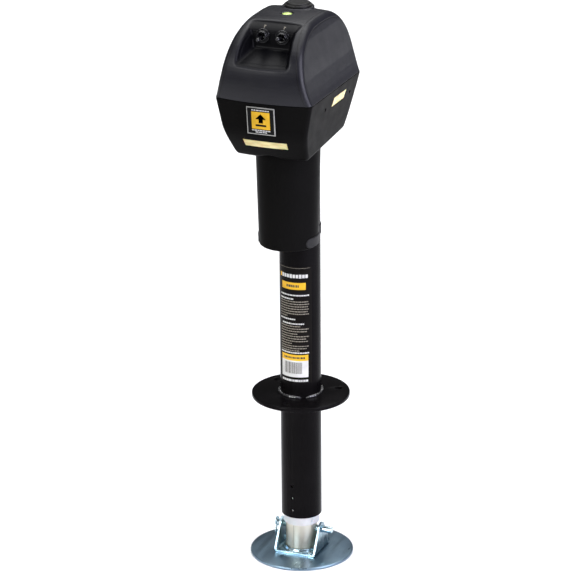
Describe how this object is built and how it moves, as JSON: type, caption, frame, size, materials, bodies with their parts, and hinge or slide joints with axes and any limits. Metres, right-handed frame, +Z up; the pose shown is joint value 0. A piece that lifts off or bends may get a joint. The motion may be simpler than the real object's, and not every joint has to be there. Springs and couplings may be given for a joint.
{
  "type": "trailer tongue jack",
  "caption": "Powered trailer tongue jack: a motor head drives a screw that pushes a ram with a pinned drop foot out of a flanged tube.",
  "frame": {"origin": "on the tube's axis, in the underside of the mounting flange", "axes": "+Z up along the tube, -Y towards the control panel, +X to the right seen from the front"},
  "size_m": [0.146, 0.2095, 0.8073],
  "materials": {
    "black_paint": "gloss black powder coat",
    "black_shell": "satin moulded black, fine texture",
    "strap_grey": "grey moulded",
    "nylon": "natural nylon",
    "zinc": "blue-white zinc plate",
    "ram_zinc": "drawn tube, zinc plated",
    "steel": "machined",
    "weld": "painted weld bead",
    "lens": "frosted lens",
    "board": "circuit board",
    "badge": "printed plate",
    "label": "printed film",
    "rubber": "soft black",
    "felt": "felt",
    "magnet": "ferrite",
    "copper_core": "wound core",
    "bronze": "bronze",
    "switch_black": "gloss black",
    "level_green": "fluid-filled vial"
  },
  "bodies": {
    "jack": {"outer_tube": "black_paint", "mount_flange": "black_paint", "flange_weld": "weld", "guide_bush": "nylon", "tube_label": "label", "lower_housing": "black_shell", "upper_cover": "black_shell", "housing_screws": "steel", "rear_strap": "strap_grey", "strap_screws": "steel", "front_lens": "lens", "side_lenses": "lens", "lamp_boards": "board", "badge_plate": "badge", "lead_grommet": "rubber", "gear_plate": "steel", "upper_plate": "steel", "plate_standoffs": "steel", "plate_screws": "steel", "idler_axle": "steel", "gear_seal": "felt", "motor_can": "steel", "motor_end_cap": "steel", "motor_magnets": "magnet", "motor_screws": "steel", "bearing_races": "steel", "bearing_balls": "steel", "bearing_cage": "bronze", "drive_switch": "switch_black", "light_switch": "switch_black", "switch_nuts": "switch_black", "circuit_breaker": "switch_black", "level_cup": "switch_black", "level_vial": "level_green"},
    "rotor": {"motor_armature": "copper_core", "motor_pinion": "steel"},
    "idler": {"idler_gear": "steel"},
    "screw": {"drive_screw": "steel", "output_gear": "steel", "gear_circlip": "steel"},
    "ram": {"ram_tube": "ram_zinc", "screw_nut": "bronze", "ram_guide_ring": "nylon", "foot_plate": "zinc", "foot_bracket": "zinc", "foot_rivets": "zinc"},
    "pin": {"pull_pin": "zinc"},
    "clip": {"pin_clip": "zinc"},
    "drive_lever": {"drive_lever": "switch_black"},
    "light_lever": {"light_lever": "switch_black"},
    "cap": {"crank_cap": "rubber"}
  },
  "joints": [
    {"name": "ram_slide", "type": "slide", "parent": "jack", "child": "ram", "axis": [0, 0, -1], "range_m": [0, 0.457]},
    {"name": "screw_spin", "type": "hinge", "parent": "jack", "child": "screw", "pos_m": [0, 0, 0.4], "axis": [0, 0, 1], "range_deg": [0, 32905]},
    {"name": "idler_spin", "type": "hinge", "parent": "jack", "child": "idler", "pos_m": [0.02476, -0.03393, 0.42], "axis": [0, 0, -1], "range_deg": [0, 98715]},
    {"name": "motor_spin", "type": "hinge", "parent": "jack", "child": "rotor", "pos_m": [0, -0.053, 0.35], "axis": [0, 0, 1], "range_deg": [0, 312598]},
    {"name": "pin_spin", "type": "hinge", "parent": "ram", "child": "pin", "pos_m": [0, 0, -0.2015], "axis": [1, 0, 0], "range_deg": [-90, 90]},
    {"name": "clip_pull", "type": "slide", "parent": "pin", "child": "clip", "axis": [0, 0, 1], "range_m": [0, 0.04]},
    {"name": "drive_lever_tilt", "type": "hinge", "parent": "jack", "child": "drive_lever", "pos_m": [0, -0.09061, 0.544], "axis": [1, 0, 0], "range_deg": [-13, 13], "stiffness_Nm_per_rad": 0.05},
    {"name": "light_lever_tilt", "type": "hinge", "parent": "jack", "child": "light_lever", "pos_m": [0, -0.09061, 0.544], "axis": [-1, 0, 0], "range_deg": [0, 26]},
    {"name": "cap_lift", "type": "slide", "parent": "jack", "child": "cap", "axis": [0, 0, 1], "range_m": [0, 0.05]}
  ],
  "couplings": [
    {"joint": "screw_spin", "follows": "ram_slide", "rad_per_m": 1256.6},
    {"joint": "idler_spin", "follows": "ram_slide", "rad_per_m": 3769.9},
    {"joint": "motor_spin", "follows": "ram_slide", "rad_per_m": 11938}
  ]
}
